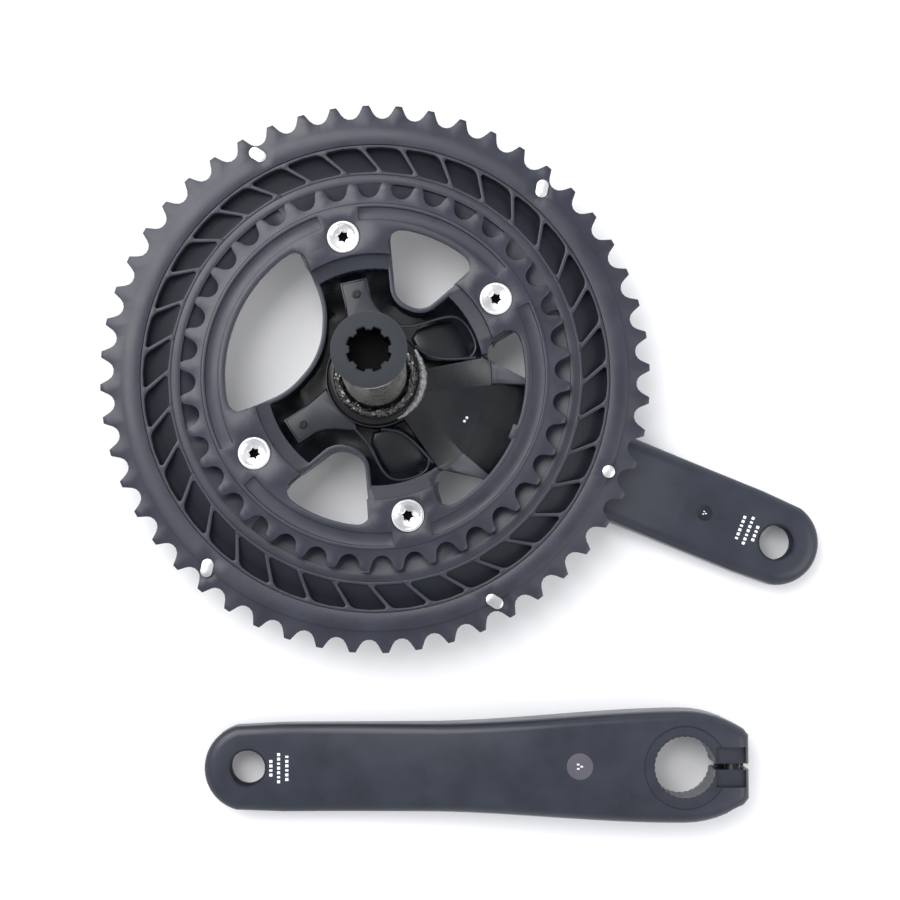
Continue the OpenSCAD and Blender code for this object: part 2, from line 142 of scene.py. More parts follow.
class CranksetFinish(bpy.types.PropertyGroup):
    """Colours of the crankset's finishes"""

    arm: bpy.props.FloatVectorProperty(
        name="Arms", description="Anodised colour of both crank arms",
        subtype="COLOR", default=(0.020, 0.024, 0.037), min=0.0, max=1.0)
    ring: bpy.props.FloatVectorProperty(
        name="Chainrings", description="Anodised colour of both chainrings",
        subtype="COLOR", default=(0.019, 0.021, 0.036), min=0.0, max=1.0)
    resin: bpy.props.FloatVectorProperty(
        name="Ribs and cap", description="Colour of the moulded resin parts",
        subtype="COLOR", default=(0.020, 0.022, 0.036), min=0.0, max=1.0)
    steel: bpy.props.FloatVectorProperty(
        name="Axle", description="Colour of the ground steel axle",
        subtype="COLOR", default=(0.70, 0.67, 0.61), min=0.0, max=1.0)
    bolt: bpy.props.FloatVectorProperty(
        name="Bolts and pins", description="Colour of the plated bolts and pins",
        subtype="COLOR", default=(0.72, 0.72, 0.74), min=0.0, max=1.0)


class CranksetSizes(bpy.types.PropertyGroup):
    """Sizes of the finished edges"""

    ring_edge: bpy.props.FloatProperty(
        name="Ring edge", description="Width of the broken edges on the chainrings",
        unit="LENGTH", default=0.3 * MM, min=0.05 * MM, max=0.6 * MM)
    arm_edge: bpy.props.FloatProperty(
        name="Arm edge", description="Width of the broken edges on the arms",
        unit="LENGTH", default=0.5 * MM, min=0.1 * MM, max=1.0 * MM)
    small_edge: bpy.props.FloatProperty(
        name="Small edge", description="Width of the broken edges on bolts and pins",
        unit="LENGTH", default=0.25 * MM, min=0.05 * MM, max=0.4 * MM)


# ---- Shader groups --------------------------------------------------------


def node_group(name, inputs, outputs):
    """An empty shader group with its sockets, and its input and output nodes."""
    group = bpy.data.node_groups.new(name, "ShaderNodeTree")
    for label, kind, value in inputs:
        socket = group.interface.new_socket(name=label, in_out="INPUT", socket_type=kind)
        if value is not None:
            socket.default_value = value
    for label, kind in outputs:
        group.interface.new_socket(name=label, in_out="OUTPUT", socket_type=kind)
    return group, group.nodes.new("NodeGroupInput"), group.nodes.new("NodeGroupOutput")


def math_node(tree, operation, a, b=None, clamp=False):
    node = tree.nodes.new("ShaderNodeMath")
    node.operation = operation
    node.use_clamp = clamp
    for socket, value in zip(node.inputs, (a, b)):
        if isinstance(value, bpy.types.NodeSocket):
            tree.links.new(value, socket)
        elif value is not None:
            socket.default_value = value
    return node.outputs[0]


def noise_node(tree, vector, scale, detail=3.0, rough=0.5):
    node = tree.nodes.new("ShaderNodeTexNoise")
    node.inputs["Detail"].default_value = detail
    node.inputs["Roughness"].default_value = rough
    tree.links.new(vector, node.inputs["Vector"])
    if isinstance(scale, bpy.types.NodeSocket):
        tree.links.new(scale, node.inputs["Scale"])
    else:
        node.inputs["Scale"].default_value = scale
    return node.outputs["Fac"]


def map_range(tree, value, lo, hi, to_lo, to_hi):
    node = tree.nodes.new("ShaderNodeMapRange")
    tree.links.new(value, node.inputs["Value"])
    for key, number in (("From Min", lo), ("From Max", hi), ("To Min", to_lo), ("To Max", to_hi)):
        if isinstance(number, bpy.types.NodeSocket):
            tree.links.new(number, node.inputs[key])
        else:
            node.inputs[key].default_value = number
    return node.outputs["Result"]


def grain_group():
    """Blasted or moulded skin: fine bumps, slow mottling of colour and gloss."""
    group, given, made = node_group(
        "Skin grain",
        [("Vector", "NodeSocketVector", None), ("Color", "NodeSocketColor", (0.02, 0.02, 0.03, 1)),
         ("Grain per metre", "NodeSocketFloat", 2600.0), ("Depth", "NodeSocketFloat", 0.15),
         ("Roughness low", "NodeSocketFloat", 0.36), ("Roughness high", "NodeSocketFloat", 0.5)],
        [("Color", "NodeSocketColor"), ("Roughness", "NodeSocketFloat"), ("Normal", "NodeSocketVector")])
    fine = noise_node(group, given.outputs["Vector"], given.outputs["Grain per metre"], 4.0, 0.6)
    slow = noise_node(group, given.outputs["Vector"], 70.0, 4.0, 0.6)
    bump = group.nodes.new("ShaderNodeBump")
    bump.inputs["Distance"].default_value = 0.05 * MM
    group.links.new(given.outputs["Depth"], bump.inputs["Strength"])
    group.links.new(fine, bump.inputs["Height"])
    mix = group.nodes.new("ShaderNodeMix")
    mix.data_type = "RGBA"
    mix.blend_type = "MULTIPLY"
    shade = map_range(group, slow, 0.3, 0.7, 0.82, 1.15)
    mix.inputs["Factor"].default_value = 1.0
    group.links.new(given.outputs["Color"], mix.inputs["A"])
    group.links.new(shade, mix.inputs["B"])
    rough = map_range(group, slow, 0.3, 0.7, given.outputs["Roughness low"], given.outputs["Roughness high"])
    group.links.new(mix.outputs["Result"], made.inputs["Color"])
    group.links.new(rough, made.inputs["Roughness"])
    group.links.new(bump.outputs["Normal"], made.inputs["Normal"])
    return group


# ---- Materials ------------------------------------------------------------


def new_material(name, metallic=0.0, coat=0.0):
    """A material with a Principled shader, returned with its tree and that shader."""
    material = bpy.data.materials.new(name)
    material.use_nodes = True
    tree = material.node_tree
    shader = tree.nodes["Principled BSDF"]
    shader.inputs["Metallic"].default_value = metallic
    shader.inputs["Coat Weight"].default_value = coat
    return material, tree, shader


def skin(name, color, grain, depth, rough, metallic=0.0, coat=0.0, specular=0.5):
    """A material whose colour, gloss and bumps come from the skin grain group."""
    material, tree, shader = new_material(name, metallic, coat)
    shader.inputs["Specular IOR Level"].default_value = specular
    place = tree.nodes.new("ShaderNodeTexCoord").outputs["Object"]
    node = tree.nodes.new("ShaderNodeGroup")
    node.node_tree = bpy.data.node_groups.get("Skin grain") or grain_group()
    node.inputs["Color"].default_value = (*color, 1.0)
    node.inputs["Grain per metre"].default_value = grain
    node.inputs["Depth"].default_value = depth
    node.inputs["Roughness low"].default_value = rough[0]
    node.inputs["Roughness high"].default_value = rough[1]
    tree.links.new(place, node.inputs["Vector"])
    tree.links.new(node.outputs["Color"], shader.inputs["Base Color"])
    tree.links.new(node.outputs["Roughness"], shader.inputs["Roughness"])
    tree.links.new(node.outputs["Normal"], shader.inputs["Normal"])
    return material


def finishes():
    return bpy.context.scene.crankset_finish


def finish(name, color, grain, depth, rough, metallic=0.0, coat=0.0, specular=0.5):
    """The named finish, made the first time that it is asked for."""
    return bpy.data.materials.get(name) or skin(name, color, grain, depth, rough, metallic, coat, specular)


def arm_finish():
    return finish("Arm anodising", finishes().arm, 2600.0, 0.08, (0.27, 0.36), specular=0.42)


def ring_finish():
    return finish("Ring anodising", finishes().ring, 2200.0, 0.12, (0.28, 0.42), specular=0.5)


def resin_finish():
    return finish("Moulded resin", finishes().resin, 1500.0, 0.22, (0.32, 0.48), specular=0.5)


# Painted shade for the floor between the ribs, a darker copy of the moulded resin; also the real colour of
# the dark right label
def floor_shade_and_label_finish():
    return finish("Resin floor", (0.008, 0.010, 0.016), 1500.0, 0.2, (0.42, 0.6), specular=0.25)


def cap_finish():
    return finish("Matte cap resin", (0.026, 0.030, 0.035), 1300.0, 0.3, (0.55, 0.7), specular=0.25)


def steel_finish():
    return bpy.data.materials.get("Ground steel") or ground_steel()


def bolt_finish():
    return finish("Plated steel", finishes().bolt, 1800.0, 0.08, (0.24, 0.36), metallic=1.0)


# Painted shade: the grey pinch bolts are coloured near-black for the shade of the slit they sit in
def pinch_bolt_shade_finish():
    return finish("Pinch bolt steel with painted shade", (0.03, 0.03, 0.032), 1400.0, 0.12, (0.35, 0.5), metallic=1.0)


def seal_finish():
    return finish("Oily rubber", (0.004, 0.004, 0.005), 700.0, 0.3, (0.16, 0.36), specular=0.3)


def grease_finish():
    return finish("Dark grease", (0.004, 0.004, 0.004), 500.0, 0.5, (0.07, 0.2), coat=0.6, specular=0.6)


# Painted shade: near-black colour for the insides of sockets and recesses
def hollow_shade_finish():
    return finish("Painted hollow shade", (0.003, 0.003, 0.0035), 900.0, 0.2, (0.5, 0.7), specular=0.1)


# Painted highlight: a pale grey standing in for the bright crescent on one side of the boss, over real grease
def grease_and_highlight_finish():
    return finish("Pale grease and painted highlight", (0.16, 0.16, 0.18), 420.0, 0.5, (0.05, 0.22), coat=0.8, specular=0.8)


# Painted shade: a darker copy of the arm anodising for the web that sits inside the spider
def web_shade_finish():
    return finish("Web anodising with painted shade", (0.013, 0.015, 0.022), 2400.0, 0.08, (0.26, 0.36), specular=0.4)


# Painted shade: a near-black copy of the arm anodising for the recessed faces inside the spider, the blade
# under the rings and the pocket floors
def spider_shade_finish():
    return finish("Spider inside painted shade", (0.006, 0.007, 0.010), 2200.0, 0.10, (0.24, 0.36), specular=0.4)


def label_finish():
    return finish("Label disc", (0.085, 0.08, 0.10), 2000.0, 0.1, (0.45, 0.55), specular=0.3)


def ink_finish():
    return finish("White ink", (0.86, 0.86, 0.90), 1800.0, 0.1, (0.5, 0.65))


def ground_steel():
    """Ground steel that goes dark with grease towards the foot of the axle."""
    material = skin("Ground steel", finishes().steel, 700.0, 0.008, (0.26, 0.29), 1.0)
    tree = material.node_tree
    shader = tree.nodes["Principled BSDF"]
    clean = shader.inputs["Base Color"].links[0].from_socket
    place = tree.nodes.new("ShaderNodeTexCoord").outputs["Object"]
    axes = tree.nodes.new("ShaderNodeSeparateXYZ")
    tree.links.new(place, axes.inputs[0])
    edge = math_node(tree, "MULTIPLY", noise_node(tree, place, 260.0), 0.008)
    height = math_node(tree, "SUBTRACT", axes.outputs["Z"], edge)
    bright = map_range(tree, height, 0.030, 0.037, 0.05, 1.0)
    mix = tree.nodes.new("ShaderNodeMix")
    mix.data_type = "RGBA"
    mix.inputs["A"].default_value = (0.012, 0.011, 0.010, 1.0)
    tree.links.new(bright, mix.inputs["Factor"])
    tree.links.new(clean, mix.inputs["B"])
    tree.links.new(mix.outputs["Result"], shader.inputs["Base Color"])
    return material


# ---- Modelling helpers ----------------------------------------------------


def deselect():
    if bpy.context.object and bpy.context.object.mode != "OBJECT":
        bpy.ops.object.mode_set(mode="OBJECT")
    bpy.ops.object.select_all(action="DESELECT")


def take(obj):
    """Makes obj the only selected object."""
    deselect()
    obj.select_set(True)
    bpy.context.view_layer.objects.active = obj
    return obj


def edit_all(obj):
    """Opens obj in edit mode with everything selected."""
    take(obj)
    bpy.ops.object.mode_set(mode="EDIT")
    bpy.ops.mesh.select_all(action="SELECT")


def close_edit():
    bpy.ops.object.mode_set(mode="OBJECT")


def add_modifier(obj, kind, **values):
    modifier = obj.modifiers.new(kind.title(), kind)
    for key, value in values.items():
        setattr(modifier, key, value)
    take(obj)
    bpy.ops.object.modifier_apply(modifier=modifier.name)


def skin_of(node, name):
    """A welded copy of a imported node's surface."""
    obj = NODES[node].copy()
    obj.data = NODES[node].data.copy()
    obj.parent = None
    obj.name = obj.data.name = name
    for key in list(obj.keys()):
        del obj[key]
    obj.data.materials.clear()
    bpy.context.scene.collection.objects.link(obj)
    edit_all(obj)
    bpy.ops.mesh.remove_doubles(threshold=0.02 * MM)
    bpy.ops.mesh.customdata_custom_splitnormals_clear()
    close_edit()
    return obj


def break_edges(obj, width, segments=2, angle=32.0):
    add_modifier(
        obj, "BEVEL", width=width, segments=segments, limit_method="ANGLE",
        angle_limit=math.radians(angle), harden_normals=False, miter_outer="MITER_ARC",
        use_clamp_overlap=True)


def place(obj, angle=0.0, shift=(0.0, 0.0, 0.0)):
    """Turns and moves obj, and leaves the place in its mesh."""
    take(obj)
    obj.rotation_euler = (0.0, 0.0, angle)
    obj.location = shift
    bpy.ops.object.transform_apply(location=True, rotation=True, scale=True)
    return obj


def select_faces(obj, test):
    bpy.ops.mesh.select_mode(type="FACE")
    bpy.ops.mesh.select_all(action="DESELECT")
    mesh = bmesh.from_edit_mesh(obj.data)
    for face in mesh.faces:
        face.select_set(test(face))
    bmesh.update_edit_mesh(obj.data)


def turned(name, profile, steps=72):
    """A body of revolution about Z from a closed profile of (radius, height) in millimetres."""
    deselect()
    bpy.ops.mesh.primitive_circle_add(vertices=len(profile), radius=MM, fill_type="NOTHING")
    obj = bpy.context.object
    obj.name = obj.data.name = name
    for vertex, (radius, height) in zip(obj.data.vertices, profile):
        vertex.co = (radius * MM, 0.0, height * MM)
    edit_all(obj)
    bpy.ops.mesh.spin(steps=steps, angle=math.tau, center=(0, 0, 0), axis=(0, 0, 1))
    bpy.ops.mesh.select_all(action="SELECT")
    bpy.ops.mesh.remove_doubles(threshold=0.005 * MM)
    bpy.ops.mesh.delete_loose()
    bpy.ops.mesh.select_all(action="SELECT")
    bpy.ops.mesh.normals_make_consistent(inside=False)
    close_edit()
    return obj


def scallop(obj, r_low, r_high, count, share, factor):
    """Draws evenly spaced groups of points towards the axis, as teeth or lobes."""
    edit_all(obj)
    bpy.ops.mesh.select_mode(type="VERT")
    bpy.ops.mesh.select_all(action="DESELECT")
    mesh = bmesh.from_edit_mesh(obj.data)
    for vertex in mesh.verts:
        radius = vertex.co.xy.length / MM
        turn = math.atan2(vertex.co.y, vertex.co.x) / math.tau * count % 1.0
        vertex.select_set(r_low < radius < r_high and min(turn, 1.0 - turn) < share / 2)
    mesh.select_flush_mode()
    bmesh.update_edit_mesh(obj.data)
    bpy.ops.transform.resize(value=(factor, factor, 1.0), center_override=(0, 0, 0))
    close_edit()


def plate(name, outline, low, high, upper=0.0, lower=0.0, steps=5):
    """A flat body of the given outline in millimetres, with rounded upper and lower rims."""
    deselect()
    bpy.ops.mesh.primitive_circle_add(vertices=len(outline), radius=MM, fill_type="NGON")
    obj = bpy.context.object
    obj.name = obj.data.name = name
    for vertex, (x, y) in zip(obj.data.vertices, outline):
        vertex.co = (x * MM, y * MM, (low + lower) * MM)
    edit_all(obj)
    rise = (high - low - upper - lower) * MM
    bpy.ops.mesh.extrude_region_move(TRANSFORM_OT_translate={"value": (0, 0, rise)})
    bpy.ops.mesh.select_all(action="SELECT")
    bpy.ops.mesh.normals_make_consistent(inside=False)
    for side, edge in ((1, upper), (-1, lower)):
        if edge:
            select_faces(obj, lambda face: face.normal.z * side > 0.9)
            for k in range(steps):
                a, b = (math.pi / 2 * (k + i) / steps for i in (0, 1))
                bpy.ops.mesh.inset(
                    thickness=edge * MM * (math.cos(a) - math.cos(b)),
                    depth=edge * MM * (math.sin(b) - math.sin(a)))
    close_edit()
    return obj


def cut(obj, cutter):
    """Cuts cutter out of obj and throws the cutter away."""
    add_modifier(obj, "BOOLEAN", operation="DIFFERENCE", solver="EXACT", object=cutter)
    bpy.data.objects.remove(cutter)


def box_cutter(low, high):
    deselect()
    middle = [(a + b) / 2 * MM for a, b in zip(low, high)]
    bpy.ops.mesh.primitive_cube_add(size=1.0, location=middle)
    obj = bpy.context.object
    obj.scale = [(b - a) * MM for a, b in zip(low, high)]
    bpy.ops.object.transform_apply(location=True, rotation=True, scale=True)
    return obj


def bore_cutter(radius, low, high, chamfer, thread=0.0, pitch=1.27):
    """A round cutter with a flared mouth at both ends, and a thread between them if asked for."""
    reach = chamfer + 1.0
    wall = []
    if thread:
        turns = int((high - low - 2 * chamfer) / pitch)
        for k in range(turns):
            z = low + chamfer + (k + 0.5) * pitch
            wall += [(radius, z - pitch / 4), (radius - thread, z + pitch / 4)]
    profile = [(0, low - 1), (radius + reach, low - 1), (radius, low + chamfer), *wall,
               (radius, high - chamfer), (radius + reach, high + 1), (0, high + 1)]
    return turned("bore", profile, 64)


def pedal_cutter(x):
    """Cutter for the threaded pedal hole at x along an arm."""
    return place(bore_cutter(PEDAL_HOLE_R, 0, PEDAL_THICK, PEDAL_CHAMFER, THREAD_DEPTH), 0, (x * MM, 0, 0))


def label_cutter(radius, face, top, x, y=0.0):
    """Cutter for the shallow round pocket that a label lies in."""
    floor = face - LABEL_DEPTH
    pocket = turned("pocket", [(0, floor), (radius, floor), (radius, top), (0, top)])
    return place(pocket, 0, (x * MM, y * MM, 0))


def finish_piece(obj, material, body, slot, *nodes, second=None):
    """Smooths obj, gives it its finish, parents it to its body's empty and hides the nodes it replaces. The
    slot is not used.
    """
    take(obj)
    bpy.ops.object.shade_smooth_by_angle(angle=math.radians(30))
    # Faces marked for painted shade get the dark second material
    marked = [face.index for face in obj.data.polygons if face.material_index == 1]
    obj.data.materials.clear()
    obj.data.materials.append(material)
    if marked:
        obj.data.materials.append(second or hollow_shade_finish())
    for index in marked:
        obj.data.polygons[index].material_index = 1
    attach(obj, body)
    if nodes:
        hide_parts(*nodes)
    return obj


def paint_shade(obj, radius, below):
    """Marks the faces near the axis and under a height for the darker second finish, which paints shade on
    them.
    """
    while len(obj.data.materials) < 2:
        obj.data.materials.append(None)
    for face in obj.data.polygons:
        if face.center.xy.length < radius * MM and face.center.z < below * MM:
            face.material_index = 1


def soft_step(t):
    t = min(1.0, max(0.0, t))
    return t * t * (3.0 - 2.0 * t)


def arm_half(s, root, start, end):
    """Half the width of an arm at distance s from the axle."""
    return ARM_WIDTH / 2 + (root - ARM_WIDTH) / 2 * soft_step((end - s) / (end - start))


def slope_top(obj, height, stations):
    """Lowers an arm above SLOPE_FOOT to height(x), with an edge across it at each station."""
    for x in stations:
        edit_all(obj)
        bpy.ops.mesh.bisect(plane_co=(x * MM, 0, 0), plane_no=(1, 0, 0))
        close_edit()
    for vertex in obj.data.vertices:
        z = vertex.co.z / MM
        if z > SLOPE_FOOT:
            share = (height(vertex.co.x / MM) - SLOPE_FOOT) / (BOSS_THICK - SLOPE_FOOT)
            vertex.co.z = (SLOPE_FOOT + (z - SLOPE_FOOT) * share) * MM


def polar(degrees, radius):
    angle = math.radians(degrees)
    return radius * math.cos(angle), radius * math.sin(angle)


def round_tip(end, radius):
    """Points of an arm's round end, anticlockwise."""
    return [(end + radius * math.cos(math.radians(a)), radius * math.sin(math.radians(a)))
            for a in range(-75, 76, 6)]


def rope(name, points, depth, radii=None):
    """A tube through points in millimetres, made a mesh."""
    data = bpy.data.curves.new(name, "CURVE")
    data.dimensions = "3D"
    data.bevel_depth = depth * MM
    data.bevel_resolution = 4
    data.resolution_u = 6
    data.use_fill_caps = True
    spline = data.splines.new("NURBS")
    spline.points.add(len(points) - 1)
    spline.use_endpoint_u = True
    spline.order_u = 3
    for i, (point, spot) in enumerate(zip(spline.points, points)):
        point.co = (*(c * MM for c in spot), 1.0)
        point.radius = radii[i] if radii else 1.0
    obj = bpy.data.objects.new(name, data)
    bpy.context.scene.collection.objects.link(obj)
    take(obj)
    bpy.ops.object.convert(target="MESH")
    edit_all(bpy.context.object)
    bpy.ops.mesh.remove_doubles(threshold=0.005 * MM)
    bpy.ops.mesh.normals_make_consistent(inside=False)
    close_edit()
    return bpy.context.object


def roughen(obj, size, strength):
    """Pushes a greasy surface in and out with a cloud pattern."""
    clouds = bpy.data.textures.new(obj.name + "_clouds", "CLOUDS")
    clouds.noise_scale = size * MM
    clouds.noise_depth = 2
    add_modifier(
        obj, "DISPLACE", texture=clouds, texture_coords="LOCAL", strength=strength * MM, mid_level=0.5)


# ---- Operators ------------------------------------------------------------


class CRANKSET_OT_right_arm(bpy.types.Operator):
    """Spider, arm blade, the webs inside the spider and the printed marks"""

    bl_idname = "crankset.right_arm"
    bl_label = "Right Arm"

    def execute(self, context):
        sizes = context.scene.crankset_sizes
        spider = skin_of("right_crank_arm", "spider")
        edit_all(spider)
        along = Vector((math.cos(ARM_ANGLE), math.sin(ARM_ANGLE), 0.0))
        bpy.ops.mesh.bisect(
            plane_co=along * BLADE_START * MM, plane_no=along, use_fill=True, clear_outer=True)
        close_edit()
        for side in (1, -1):
            outline = [polar(side * a, r) for a, r in POCKET_EDGE]
            cut(spider, place(plate("pocket_cutter", outline, 16.4, 30.0), ARM_ANGLE))
        break_edges(spider, sizes.arm_edge)
        # Painted shade on the low faces inside the spider
        paint_shade(spider, SHADE_SPIDER_R, SHADE_SPIDER_TOP)
        finish_piece(
            spider, arm_finish(), "drive_side", "arm_anodised", "right_crank_arm", second=spider_shade_finish())
        self.blade()
        for side in (1, -1):
            self.web(side)
            self.lips(side)
        self.marks()
        return {"FINISHED"}

    def blade(self):
        reach = CRANK_LENGTH - 12
        stations = [BLADE_START + (reach - BLADE_START) * k / 24 for k in range(25)]
        side = [(s, arm_half(s, RIGHT_ROOT, 20, 80)) for s in stations]
        outline = [(x, -y) for x, y in side] + round_tip(CRANK_LENGTH, PEDAL_END_R) + side[::-1]
        blade = plate("right_arm_blade", outline, 0.0, BOSS_THICK, EDGE_ROUND, LOWER_ROUND)
        slope_top(blade, self.height, [s + 0.7 for s in stations[1:-1]])
        cut(blade, pedal_cutter(CRANK_LENGTH))
        cut(blade, label_cutter(RIGHT_LABEL_R, PEDAL_THICK, 20, LABEL_AT))
        place(blade, ARM_ANGLE)
        # Painted shade on the blade near the boss and under the chainrings
        paint_shade(blade, SHADE_BLADE_R, BOSS_THICK + 10)
        finish_piece(
            blade, arm_finish(), "drive_side", "arm_anodised", "right_crank_arm", second=spider_shade_finish())

    @staticmethod
    def height(s):
        if s < RIGHT_STEP_END:
            return BOSS_THICK - RIGHT_STEP_DROP * (s - RIGHT_STEP_START) / (RIGHT_STEP_END - RIGHT_STEP_START)
        if s < RIGHT_SLOPE_START:
            along = (s - RIGHT_STEP_END) / (RIGHT_SLOPE_START - RIGHT_STEP_END)
            return RIGHT_LEDGE_TOP + (RIGHT_SLOPE_TOP - RIGHT_LEDGE_TOP) * along
        drop = PEDAL_THICK - RIGHT_SLOPE_TOP
        return RIGHT_SLOPE_TOP + drop * soft_step((s - RIGHT_SLOPE_START) / RIGHT_SLOPE_LENGTH)

    def web(self, side):
        """Raised web from the pad round the boss to the next arm"""
        word = "upper" if side > 0 else "lower"
        rim = [(132.6, 39.0), (134.8, 31.0), (139.4, 24.4), (146.0, 19.6), (128.0, 18.6), (106.0, 18.6),
               (92.0, 19.0), (88.0, 21.0), (92.0, 22.6), (98.0, 23.6), (106.0, 25.4),
               (112.2, 28.4), (115.6, 32.0), (117.4, 35.6), (117.8, 39.0)]
        outline = [polar(side * degrees, radius) for degrees, radius in rim]
        web = plate(f"spider_web_{word}", outline, WEB_LOW, WEB_TOP, 0.9, steps=4)
        # The web gets a darker copy of the arm anodising as painted shade
        finish_piece(place(web, ARM_ANGLE), web_shade_finish(), "drive_side", "arm_anodised")
        dimple = turned(f"pad_mark_{word}", [
            (0, 23.2), (1.9, 23.2), (1.9, 23.36), (1.3, 23.42), (1.2, 23.34), (0, 23.33)], 32)
        spot = [c * MM for c in polar(side * 125.17 + math.degrees(ARM_ANGLE), 33.5)]
        finish_piece(place(dimple, 0, (*spot, 0)), seal_finish(), "drive_side", "arm_anodised")

    def lips(self, side):
        """Sloping floor of the pocket beside the crank, and the lips that edge it"""
        word = "upper" if side > 0 else "lower"
        rim = [(36.6, 25.4), (34.2, 38.2), (46.0, 39.4), (59.6, 38.8), (66.0, 32.0), (73.0, 25.2),
               (71.0, 21.0), (55.0, 19.4), (42.0, 21.0)]
        outline = [polar(side * a, r) for a, r in rim]
        floor = plate(f"pocket_floor_{word}", outline, WEB_LOW, 18.2, 1.6, steps=4)
        for vertex in floor.data.vertices:
            if vertex.co.z > 15 * MM:
                vertex.co.z -= 0.22 * max(0.0, vertex.co.xy.length - 22 * MM)
        # The pocket floor gets the painted shade of the spider's inside
        finish_piece(place(floor, ARM_ANGLE), spider_shade_finish(), "drive_side", "arm_anodised")
        routes = {
            "outer": [(92, 21.2, 22.6), (82, 23.2, 22.0), (76, 25.4, 21.4), (70, 29.5, 20.8),
                      (64.6, 35.4, 20.2), (60.4, 39.4, 19.8), (54, 41.2, 19.4), (44, 41.6, 19.4),
                      (37, 40.6, 19.6), (34.8, 37.6, 20.1)],
            "crank": [(62, 19.9, 20.1), (47, 21.4, 20.1), (39, 26.2, 20.1), (35.6, 32, 20.1),
                      (34.0, 39.8, 20.1)],
        }
        for name, route in routes.items():
            lip = rope(f"pocket_lip_{word}_{name}", [(*polar(side * a, r), z) for a, r, z in route], 0.6)
            finish_piece(place(lip, ARM_ANGLE), arm_finish(), "drive_side", "arm_anodised")

    def marks(self):
        """The printed strokes beside the pedal hole and two small specks"""
        print_marks("right_print", ARM_ANGLE, (0, 0, 0), "drive_side")
        for k, (s, y) in enumerate(((38.6, -0.9), (38.2, -2.5))):
            speck = turned(f"crank_speck_{k + 1}", [(0, 19.9), (0.62, 19.9), (0.5, 20.12), (0, 20.14)], 20)
            spot = Vector((s * MM, y * MM, 0)) @ Matrix.Rotation(-ARM_ANGLE, 3, "Z")
            finish_piece(place(speck, 0, spot), ink_finish(), "drive_side", "label")


def print_marks(name, angle, shift, body):
    """Rows of short generic strokes in one joined piece, beside a pedal hole."""
    strokes = []
    for s, count, width in PRINT_ROWS:
        for k in range(count):
            y = (k - (count - 1) / 2) * 1.75
            long = 0.55 if (k + count) % 3 else 0.4
            low = (CRANK_LENGTH + s - width / 2, y - long, PEDAL_THICK - 0.01)
            high = (CRANK_LENGTH + s + width / 2, y + long, PEDAL_THICK + 0.03)
            strokes.append(box_cutter(low, high))
    deselect()
    for stroke in strokes:
        stroke.select_set(True)
    bpy.context.view_layer.objects.active = strokes[0]
    bpy.ops.object.join()
    marks = bpy.context.object
    marks.name = marks.data.name = name
    finish_piece(place(marks, angle, shift), ink_finish(), body, "label")


class CRANKSET_OT_left_arm(bpy.types.Operator):
    """Loose left arm with its clamp, slit and pedal hole"""

    bl_idname = "crankset.left_arm"
    bl_label = "Left Arm"

    def execute(self, context):
        tail = [(x, LEFT_ROOT / 2 - 0.0132 * x * x) for x in (23, 20, 16, 12, 8, 4)]
        side = [(-s, arm_half(s, LEFT_ROOT, 0, 100)) for s in range(0, 159, 6)]
        tip = [(-x, -y) for x, y in round_tip(CRANK_LENGTH, PEDAL_END_R)]
        top_side = [(LEFT_END, tail[0][1] - 2.5)] + tail + side
        outline = top_side + tip + [(x, -y) for x, y in reversed(top_side)]
        arm = plate("left_arm_forging", outline, 0.0, BOSS_THICK, EDGE_ROUND * 0.8, LOWER_ROUND)
        slope_top(arm, self.height, [-s + 0.7 for s in range(42, 159, 6)])
        bore = bore_cutter(BORE_R, -0.01, BOSS_THICK - RIM_DEPTH, 0.5)
        scallop(bore, BORE_R - 0.2, BORE_R + 0.2, 32, 0.5, 0.975)
        cut(arm, bore)
        top = BOSS_THICK - RIM_DEPTH
        cut(arm, turned("rim", [
            (0, top), (RIM_R - 0.5, top), (RIM_R, top + 0.4), (RIM_R + 1.2, 21.4), (0, 21.4)]))
        cut(arm, box_cutter((5, -SLIT_W / 2, -1), (LEFT_END + 2, SLIT_W / 2, 22)))
        cut(arm, box_cutter((BORE_R, -CHANNEL_W / 2, 17), (LEFT_END - 1.5, CHANNEL_W / 2, 25)))
        for height, turn in zip(PINCH_Z, (-90, 90)):
            for radius, low, high in ((PINCH_HEAD_BORE_R, PINCH_HEAD_SEAT, 30),
                                      (PINCH_SHANK_BORE_R, PINCH_SHANK_END, 9.5)):
                hole = turned("hole", [(0, low), (radius, low), (radius, high), (0, high)], 40)
                hole.rotation_euler = (math.radians(turn), 0, 0)
                hole.location = (PINCH_X * MM, 0, height * MM)
                take(hole)
                bpy.ops.object.transform_apply(location=True, rotation=True, scale=True)
                cut(arm, hole)
        cut(arm, pedal_cutter(-CRANK_LENGTH))
        cut(arm, label_cutter(LEFT_LABEL_R, BOSS_THICK, 25, *LEFT_LABEL))
        shift = (LEFT_BORE.x, LEFT_BORE.y, 0)
        finish_piece(place(arm, 0, shift), arm_finish(), "left_arm", "arm_anodised", "left_crank_arm")
        print_marks("left_print", math.pi, shift, "left_arm")
        return {"FINISHED"}

    @staticmethod
    def height(x):
        start, end = LEFT_LABEL[0] - 6.1, 20 - CRANK_LENGTH
        return BOSS_THICK + (PEDAL_THICK - BOSS_THICK) * soft_step((start - x) / (start - end))


